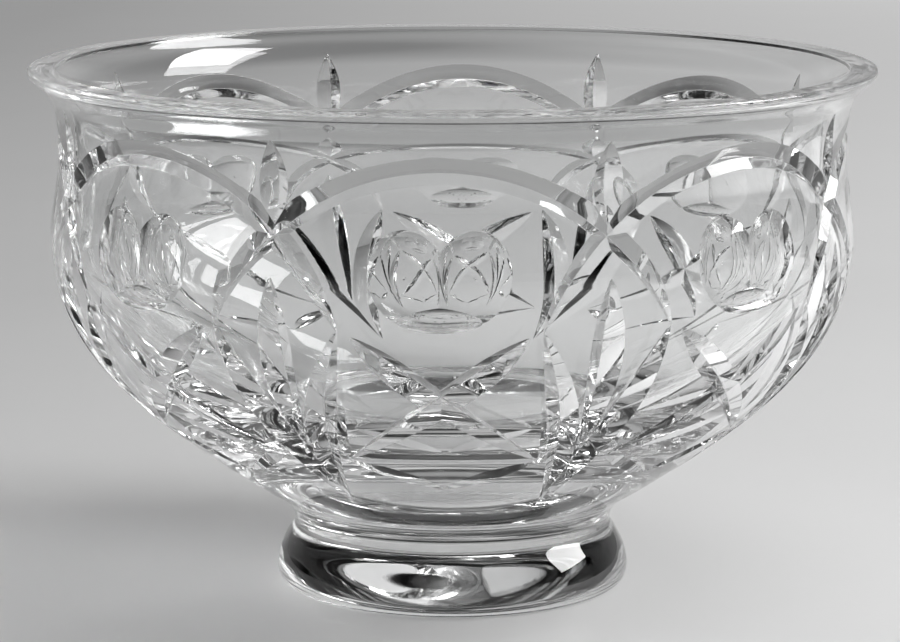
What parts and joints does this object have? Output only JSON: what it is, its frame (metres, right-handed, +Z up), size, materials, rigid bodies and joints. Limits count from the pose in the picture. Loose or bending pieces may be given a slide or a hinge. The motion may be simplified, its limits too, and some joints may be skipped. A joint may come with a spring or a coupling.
{
  "type": "footed crystal bowl",
  "caption": "Round clear crystal bowl with a flared rim, a wall cut with arches, leaf fans and tulips, and a solid turned foot, to stand on a table and hold fruit or flowers.",
  "frame": {"origin": "centre of the foot's resting face", "axes": "+Z up along the bowl's axis; the middle of one cut panel faces -Y"},
  "size_m": [0.254, 0.254, 0.158],
  "materials": {
    "bowl_crystal": "polished clear lead crystal, wheel-cut outside",
    "foot_crystal": "polished clear lead crystal, plain"
  },
  "bodies": {
    "root": {"bowl": "bowl_crystal", "foot": "foot_crystal"}
  },
  "joints": []
}
